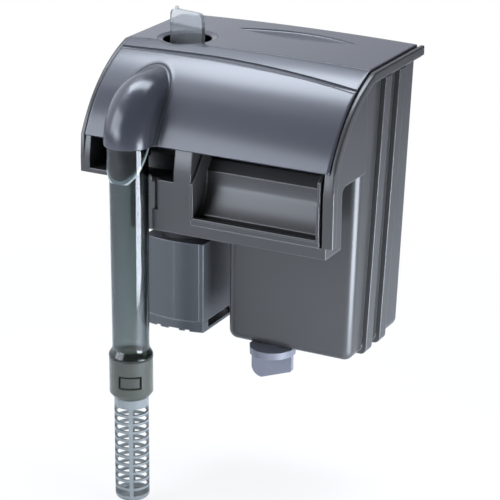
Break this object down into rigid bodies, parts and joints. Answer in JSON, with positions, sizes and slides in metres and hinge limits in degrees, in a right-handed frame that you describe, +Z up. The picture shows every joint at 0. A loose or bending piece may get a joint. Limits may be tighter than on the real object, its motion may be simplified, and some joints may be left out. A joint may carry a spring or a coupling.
{
  "type": "hang-on aquarium power filter",
  "caption": "Power filter that hangs on an aquarium's rim: media box, curved lid, spillway chute, clear intake tube with strainer, flow knob and pump motor underneath.",
  "frame": {"origin": "middle of the ceiling of the slot that rests on the tank's rim", "axes": "+Z up, -Y into the tank, +X along the tank to the right as seen from inside it"},
  "size_m": [0.1772, 0.1528, 0.3122],
  "materials": {
    "case_plastic": "satin moulded ABS, dark grey",
    "lid_plastic": "glossy moulded ABS, dark grey",
    "smoke_plastic": "clear smoky plastic",
    "seal_rubber": "soft black rubber",
    "bush_rubber": "firm black rubber",
    "gland_rubber": "firm black rubber",
    "collar_plastic": "smoky grey-green plastic",
    "strainer_plastic": "satin grey plastic",
    "knob_plastic": "clear smoky plastic",
    "inner_plastic": "plain dark plastic",
    "shaft_ceramic": "polished ceramic",
    "magnet": "sintered ferrite",
    "impeller_plastic": "plain light plastic",
    "motor_plastic": "satin dark plastic",
    "screw_steel": "stainless steel",
    "core_steel": "laminated sheet steel",
    "bobbin_plastic": "plain nylon",
    "copper": "enamelled copper wire",
    "frame_plastic": "plain dark plastic",
    "filter_floss": "bonded white floss",
    "carbon_cloth": "net bag of carbon granules",
    "cam_plastic": "satin grey plastic"
  },
  "bodies": {
    "housing": {"filter_case": "case_plastic", "spillway_chute": "case_plastic", "intake_elbow": "smoke_plastic", "impeller_cover": "inner_plastic", "upper_bush": "bush_rubber", "lower_bush": "bush_rubber", "impeller_shaft": "shaft_ceramic", "motor_housing": "motor_plastic", "motor_seal": "seal_rubber", "motor_bottom_cover": "motor_plastic", "motor_screws": "screw_steel", "cord_gland": "gland_rubber", "stator_core": "core_steel", "coil_bobbin": "bobbin_plastic", "coil_winding": "copper", "carbon_bag": "carbon_cloth"},
    "lid_body": {"lid": "lid_plastic"},
    "knob_body": {"flow_knob": "knob_plastic", "valve_sleeve": "inner_plastic", "valve_seal": "seal_rubber"},
    "tube_body": {"intake_tube": "smoke_plastic", "tube_seal": "seal_rubber"},
    "strainer_body": {"strainer_collar": "collar_plastic", "strainer": "strainer_plastic"},
    "rotor_body": {"impeller": "impeller_plastic", "rotor_magnet": "magnet"},
    "cartridge_front_body": {"cartridge_frame_front": "frame_plastic", "filter_pad_front": "filter_floss"},
    "cartridge_rear_body": {"cartridge_frame_rear": "frame_plastic", "filter_pad_rear": "filter_floss"},
    "cam_body": {"level_cam": "cam_plastic", "cam_ring": "seal_rubber"}
  },
  "joints": [
    {"name": "lid_lift", "type": "slide", "parent": "housing", "child": "lid_body", "axis": [0, 0, 1], "range_m": [0, 0.06]},
    {"name": "knob_turn", "type": "hinge", "parent": "housing", "child": "knob_body", "pos_m": [-0.0505, 0.0355, 0.0565], "axis": [0, 0, 1], "range_deg": [0, 90]},
    {"name": "tube_slide", "type": "slide", "parent": "housing", "child": "tube_body", "axis": [0, 0, -1], "range_m": [0, 0.005]},
    {"name": "strainer_twist", "type": "hinge", "parent": "tube_body", "child": "strainer_body", "pos_m": [-0.0505, -0.04, -0.127], "axis": [0, 0, 1], "range_deg": [0, 20]},
    {"name": "impeller_spin", "type": "hinge", "parent": "housing", "child": "rotor_body", "pos_m": [-0.0505, 0.0355, -0.087], "axis": [0, 0, 1], "continuous": true},
    {"name": "cartridge_front_lift", "type": "slide", "parent": "housing", "child": "cartridge_front_body", "axis": [0, 0.0473, 0.9989], "range_m": [0, 0.028]},
    {"name": "cartridge_rear_lift", "type": "slide", "parent": "housing", "child": "cartridge_rear_body", "axis": [0, 0.0473, 0.9989], "range_m": [0, 0.028]},
    {"name": "level_cam_turn", "type": "hinge", "parent": "housing", "child": "cam_body", "pos_m": [0.0215, 0.0215, -0.1273], "axis": [0, 0, 1], "range_deg": [-90, 90]}
  ]
}
